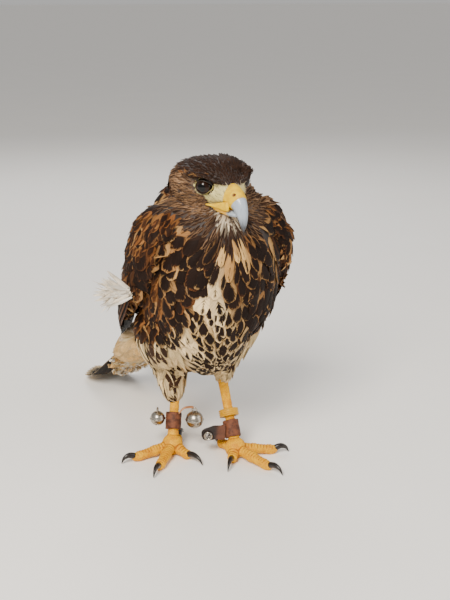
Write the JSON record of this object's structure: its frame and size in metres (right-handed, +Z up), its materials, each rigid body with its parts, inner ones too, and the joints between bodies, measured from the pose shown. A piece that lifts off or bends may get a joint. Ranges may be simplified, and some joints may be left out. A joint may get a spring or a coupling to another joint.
{
  "type": "harris hawk, standing, still model",
  "caption": "Life-size standing Harris's hawk with folded wings, turned head, leather anklets, leg band and bells, resting on its feet and tail tip",
  "frame": {"origin": "on the floor, at the middle of the bounding box seen from above", "axes": "+Z up, the breast faces -Y, the tail points toward +Y, +X is the bird's own left side"},
  "size_m": [0.1758, 0.3058, 0.2646],
  "materials": {
    "band": "glossy yellow plastic",
    "bell_metal": "nickel silver, lightly tarnished",
    "bill": "blue-grey horn, darker toward the tip",
    "cere": "smooth yellow skin, slightly waxy",
    "claws": "black horn, satin",
    "eyes": "very dark brown, wet gloss",
    "flight_feathers": "blackish brown flight and tail feathers with paler edges",
    "leather": "worn brown leather",
    "leg_skin": "scaled yellow skin",
    "plumage": "dark brown body feathers with buff and rufous edges",
    "plumage_pale": "cream and buff feathers with dark brown streaks",
    "strap": "pale tan leather lace"
  },
  "bodies": {
    "root": {"anklet_left": "leather", "anklet_left_flap": "leather", "anklet_right": "leather", "bell_acorn": "bell_metal", "bell_round": "bell_metal", "bell_strap": "strap", "bill_lower": "bill", "bill_upper": "bill", "cere": "cere", "claw_left_hallux": "claws", "claw_left_inner": "claws", "claw_left_middle": "claws", "claw_left_outer": "claws", "claw_right_hallux": "claws", "claw_right_inner": "claws", "claw_right_middle": "claws", "claw_right_outer": "claws", "down_tuft": "plumage_pale", "eye_left": "eyes", "eye_right": "eyes", "foot_left": "leg_skin", "foot_right": "leg_skin", "grommet": "bell_metal", "head": "plumage", "leg_band": "band", "neck": "plumage", "rump": "plumage_pale", "tail": "flight_feathers", "tarsus_left": "leg_skin", "tarsus_right": "leg_skin", "thigh_left": "plumage_pale", "thigh_right": "plumage_pale", "toe_left_hallux": "leg_skin", "toe_left_inner": "leg_skin", "toe_left_middle": "leg_skin", "toe_left_outer": "leg_skin", "toe_right_hallux": "leg_skin", "toe_right_inner": "leg_skin", "toe_right_middle": "leg_skin", "toe_right_outer": "leg_skin", "torso": "plumage", "undertail": "plumage_pale", "wing_left": "plumage", "wing_right": "plumage"}
  },
  "joints": []
}
